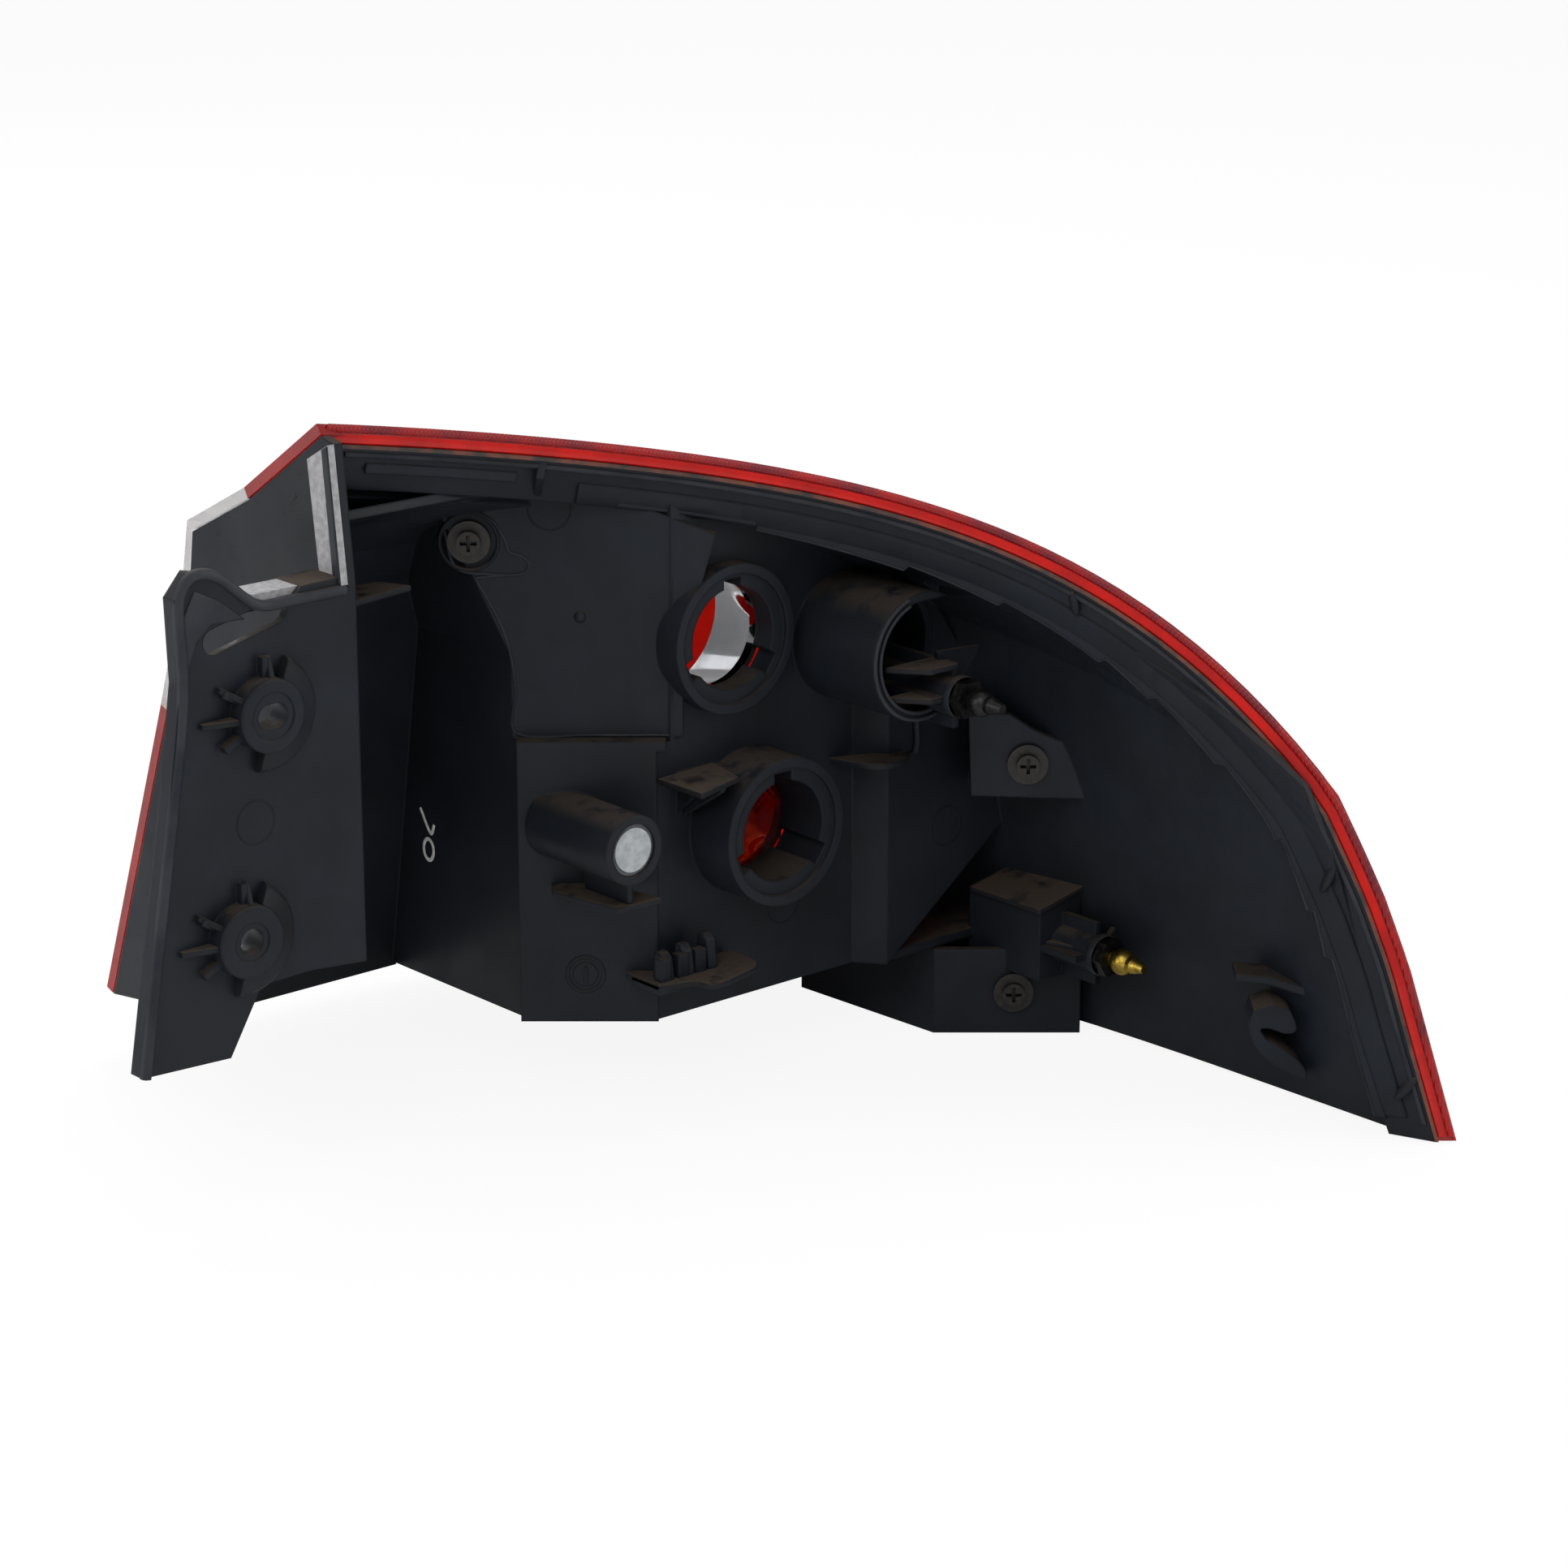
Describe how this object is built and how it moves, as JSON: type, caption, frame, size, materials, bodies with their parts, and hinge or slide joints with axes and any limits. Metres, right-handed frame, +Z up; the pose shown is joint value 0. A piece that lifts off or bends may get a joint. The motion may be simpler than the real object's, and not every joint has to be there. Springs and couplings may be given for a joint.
{
  "type": "tail light cluster",
  "caption": "Left rear corner lamp: black moulded housing with two bulb collars, jamb bracket and locating studs, closed by a red wrap-round lens with a clear window.",
  "frame": {"origin": "centre of the round lower jamb screw hole at the front face of its boss", "axes": "+X outboard, away from the car's middle; +Y rearward, the way the lamp shines; +Z up"},
  "size_m": [0.2995, 0.291, 0.1985],
  "materials": {
    "housing_black": "moulded black ABS, dusty",
    "lens_red": "clear red acrylic, polished",
    "lens_clear": "clear acrylic, polished",
    "seam": "welded seam, dusty",
    "reflector": "vacuum metallised",
    "amber": "clear amber acrylic, fluted",
    "screw": "black coated steel",
    "plug_white": "white membrane plug",
    "ring_grey": "translucent grey elastomer",
    "stud_black": "black nylon",
    "stud_plated": "yellow passivated steel, dusty",
    "foam": "light grey foam tape"
  },
  "bodies": {
    "root": {"housing": "housing_black", "lens_red": "lens_red", "lens_clear": "lens_clear", "seam_bead": "seam", "reflector_upper": "reflector", "reflector_lower": "reflector", "lens_inner_amber": "amber", "screw_upper": "screw", "screw_middle": "screw", "screw_lower": "screw", "breather_plug": "plug_white", "breather_ring": "ring_grey", "stud_upper": "stud_black", "stud_lower": "stud_plated", "stud_nut_upper": "stud_black", "stud_nut_lower": "stud_black", "foam_strip": "foam", "foam_pad": "foam"}
  },
  "joints": []
}
